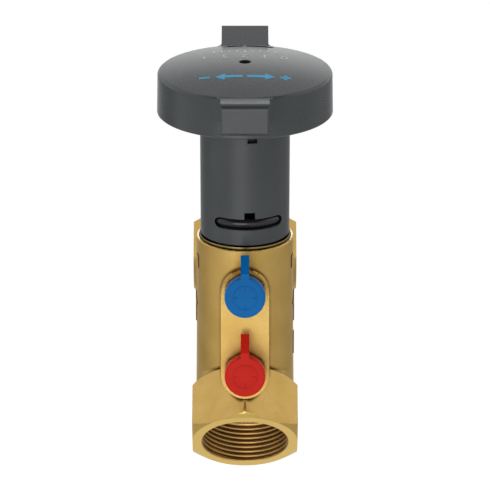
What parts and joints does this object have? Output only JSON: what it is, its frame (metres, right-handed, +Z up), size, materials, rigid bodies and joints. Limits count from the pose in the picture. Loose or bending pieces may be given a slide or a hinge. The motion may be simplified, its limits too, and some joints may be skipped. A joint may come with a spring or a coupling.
{
  "type": "balancing valve",
  "caption": "Oblique-pattern balancing valve: threaded pipe ends, round handwheel with two ears, slotted sleeve and two capped pressure test points.",
  "frame": {"origin": "centre of the inlet port, in the plane of the inlet hexagon's face", "axes": "-Y out of the inlet along the pipe axis, +Y downstream, +Z up on the stem's side, X across"},
  "size_m": [0.079, 0.1751, 0.18],
  "materials": {
    "valve_body": "fine cast bronze with machined ends",
    "bonnet": "turned",
    "bonnet_gasket": "matt",
    "sleeve": "fine matt moulding",
    "scale_disc": "printed dial",
    "upstream_nipple": "turned",
    "upstream_nipple_o_ring": "matt",
    "upstream_nipple_plug": "matt",
    "downstream_nipple": "turned",
    "downstream_nipple_o_ring": "matt",
    "downstream_nipple_plug": "matt",
    "handwheel": "fine matt moulding",
    "wheel_snap_ring": "spring steel",
    "stem": "turned",
    "stem_o_ring_lower": "matt",
    "stem_o_ring_upper": "matt",
    "stem_circlip": "spring steel",
    "thrust_washer": "low-friction plastic",
    "disc_carrier": "turned",
    "disc_seal": "low-friction plastic",
    "throttle_plug": "turned",
    "turns_drum": "printed drum",
    "presetting_spindle": "turned",
    "presetting_o_ring": "matt",
    "retaining_clip": "glossy",
    "red_cap": "smooth moulding",
    "blue_cap": "smooth moulding"
  },
  "bodies": {
    "valve": {"valve_body": "valve_body", "bonnet": "bonnet", "bonnet_gasket": "bonnet_gasket", "sleeve": "sleeve", "scale_disc": "scale_disc", "upstream_nipple": "upstream_nipple", "upstream_nipple_o_ring": "upstream_nipple_o_ring", "upstream_nipple_plug": "upstream_nipple_plug", "downstream_nipple": "downstream_nipple", "downstream_nipple_o_ring": "downstream_nipple_o_ring", "downstream_nipple_plug": "downstream_nipple_plug"},
    "wheel": {"handwheel": "handwheel", "wheel_snap_ring": "wheel_snap_ring", "stem": "stem", "stem_o_ring_lower": "stem_o_ring_lower", "stem_o_ring_upper": "stem_o_ring_upper", "stem_circlip": "stem_circlip", "thrust_washer": "thrust_washer"},
    "disc": {"disc_carrier": "disc_carrier", "disc_seal": "disc_seal", "throttle_plug": "throttle_plug"},
    "drum": {"turns_drum": "turns_drum"},
    "presetting": {"presetting_spindle": "presetting_spindle", "presetting_o_ring": "presetting_o_ring"},
    "clip": {"retaining_clip": "retaining_clip"},
    "inlet_cap": {"red_cap": "red_cap"},
    "outlet_cap": {"blue_cap": "blue_cap"}
  },
  "joints": [
    {"name": "handwheel_turn", "type": "hinge", "parent": "valve", "child": "wheel", "pos_m": [0, 0.036, 0], "axis": [0, 0.6307, 0.776], "range_deg": [0, 1440]},
    {"name": "disc_lift", "type": "slide", "parent": "valve", "child": "disc", "axis": [0, 0.6307, 0.776], "range_m": [0, 0.008]},
    {"name": "drum_rise", "type": "slide", "parent": "valve", "child": "drum", "axis": [0, 0.6307, 0.776], "range_m": [0, 0.008]},
    {"name": "presetting_turn", "type": "hinge", "parent": "wheel", "child": "presetting", "pos_m": [0, 0.036, 0], "axis": [0, 0.6307, 0.776], "range_deg": [0, 1440]},
    {"name": "clip_pull", "type": "slide", "parent": "valve", "child": "clip", "axis": [0.108, -0.7715, 0.627], "range_m": [0, 0.026]},
    {"name": "red_cap_pull", "type": "slide", "parent": "valve", "child": "inlet_cap", "axis": [0, -0.6428, 0.766], "range_m": [0, 0.015]},
    {"name": "blue_cap_pull", "type": "slide", "parent": "valve", "child": "outlet_cap", "axis": [0, -0.6428, 0.766], "range_m": [0, 0.015]}
  ],
  "couplings": [
    {"joint": "disc_lift", "follows": "handwheel_turn", "m_per_rad": 0.0003183},
    {"joint": "drum_rise", "follows": "handwheel_turn", "m_per_rad": 0.0003183}
  ]
}
